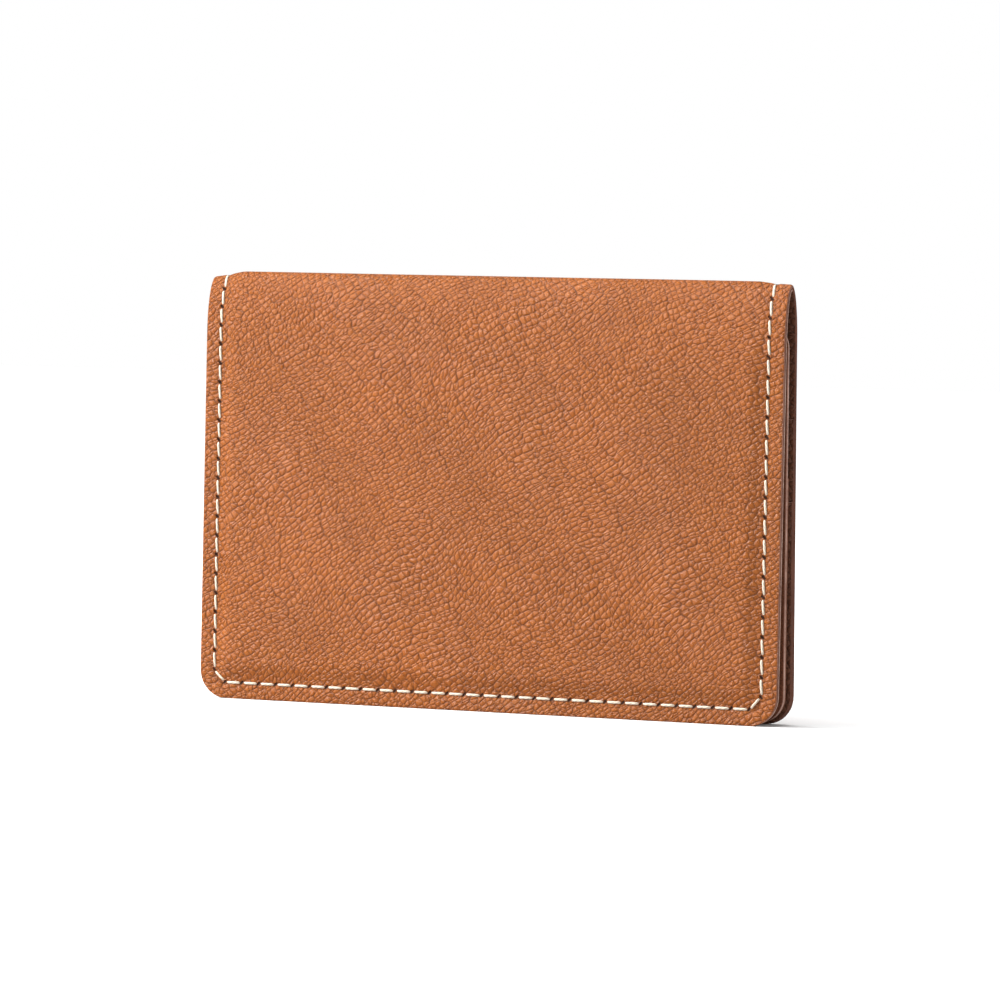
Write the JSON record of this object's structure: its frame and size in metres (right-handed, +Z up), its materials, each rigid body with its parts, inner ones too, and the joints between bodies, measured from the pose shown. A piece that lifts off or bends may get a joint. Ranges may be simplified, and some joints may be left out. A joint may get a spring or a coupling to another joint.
{
  "type": "business card case",
  "caption": "Slim folding card case in stitched pebbled leather, with a gusseted main pocket and flat card pockets, standing on its free edges with its fold at the top.",
  "frame": {"origin": "middle of the case's box, on the surface that it stands on", "axes": "+Z up towards the fold, the front cover faces -Y, +X along the case's long side"},
  "size_m": [0.11, 0.0096, 0.0752],
  "materials": {
    "tan_leather": "pebble-grained tan leather, soft satin gloss",
    "lining_leather": "smooth brown lining leather, dull",
    "gusset_leather": "thin soft brown leather, dull, with sealed edges",
    "board": "bonded fibre board",
    "thread": "waxed cream polyester sewing thread"
  },
  "bodies": {
    "front_half": {"front_cover": "tan_leather", "front_core": "board", "front_lining": "lining_leather", "gusset_cover_leaf": "gusset_leather", "gusset_fold": "gusset_leather", "front_seam_thread": "thread"},
    "fold": {"fold_leather": "tan_leather", "fold_lining": "lining_leather", "fold_seam_thread": "thread"},
    "flap": {"flap_cover": "tan_leather", "flap_core": "board", "flap_lining": "lining_leather", "flap_rear_pocket": "lining_leather", "flap_front_pocket": "lining_leather", "flap_seam_thread": "thread"},
    "pocket": {"gusset_pocket_leaf": "gusset_leather", "pocket_panel": "tan_leather", "pocket_lining": "lining_leather", "slip_pocket": "tan_leather", "pocket_seam_thread": "thread"}
  },
  "joints": [
    {"name": "fold_front_hinge", "type": "hinge", "parent": "front_half", "child": "fold", "pos_m": [0, -0.00279, 0.07372], "axis": [1, 0, 0], "range_deg": [0, 89]},
    {"name": "fold_flap_hinge", "type": "hinge", "parent": "fold", "child": "flap", "pos_m": [0, 0.00056, 0.07372], "axis": [1, 0, 0], "range_deg": [0, 89]},
    {"name": "pocket_mouth", "type": "hinge", "parent": "front_half", "child": "pocket", "pos_m": [0, 0.00019, 0.0025], "axis": [-1, 0, 0], "range_deg": [0, 9], "deforming": ["gusset_fold"]}
  ],
  "couplings": [
    {"joint": "fold_front_hinge", "follows": "fold_flap_hinge", "ratio": 1},
    {"joint": "pocket_mouth", "follows": "fold_flap_hinge", "ratio": 0.1}
  ]
}
